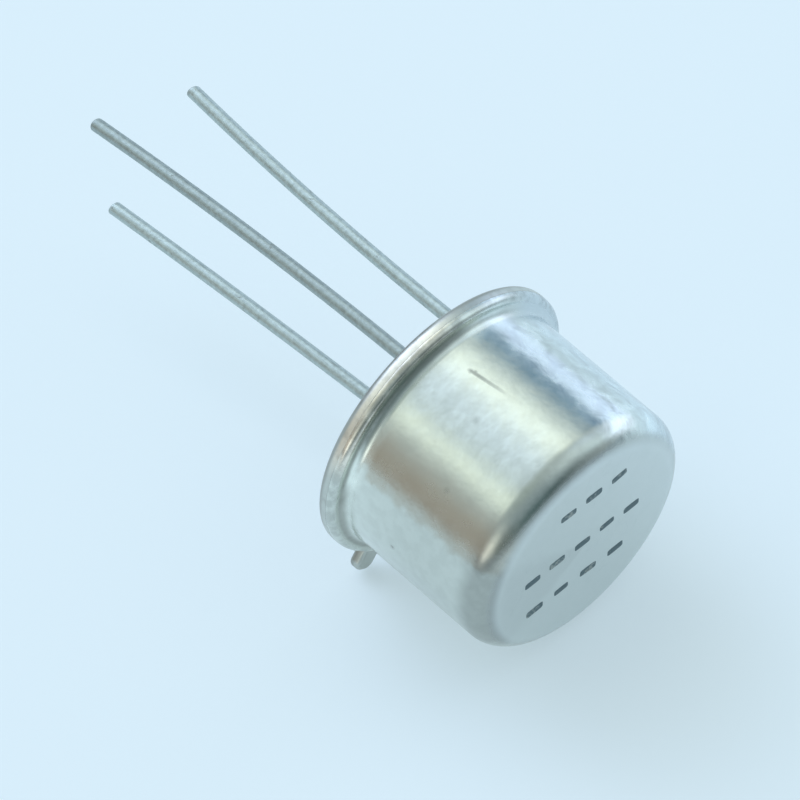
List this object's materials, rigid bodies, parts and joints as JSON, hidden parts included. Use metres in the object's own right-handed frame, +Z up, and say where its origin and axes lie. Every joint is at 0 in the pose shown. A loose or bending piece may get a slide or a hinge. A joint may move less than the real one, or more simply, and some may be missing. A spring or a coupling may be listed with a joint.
{
  "type": "rf transistor",
  "caption": "Small radio-frequency transistor in a welded metal can with an index tab and wire leads, lying on its side.",
  "frame": {"origin": "bottom centre of the whole transistor as it lies on its side: under the middle of its length and width, on the surface it rests on", "axes": "+Z up. The can's axis lies in the YZ plane: the flat top of the cap faces -Y and dips about 5.8 degrees, because the can lies on its flange and on the corner of its cap. The leads run towards +Y. +X is to the right when the cap's top is looked at from the front, and the tip of the index tab just clears the ground on the -X side."},
  "size_m": [0.0092, 0.0202, 0.0091],
  "materials": {
    "cap_plating": "satin nickel plate, finely scuffed",
    "header_plating": "satin plate",
    "seal_glass": "dark sealing glass, glossy",
    "lead_plating": "dull solder-dipped wire",
    "preform_metal": "gold solder",
    "silicon": "polished silicon",
    "bond_wire_metal": "bright drawn wire"
  },
  "bodies": {
    "root": {"header": "header_plating", "cap": "cap_plating", "glass_seal": "seal_glass", "emitter_lead": "lead_plating", "base_lead": "lead_plating", "collector_lead": "lead_plating", "solder_preform": "preform_metal", "silicon_chip": "silicon", "emitter_bond_wire_1": "bond_wire_metal", "emitter_bond_wire_2": "bond_wire_metal", "base_bond_wire_1": "bond_wire_metal", "base_bond_wire_2": "bond_wire_metal"}
  },
  "joints": []
}
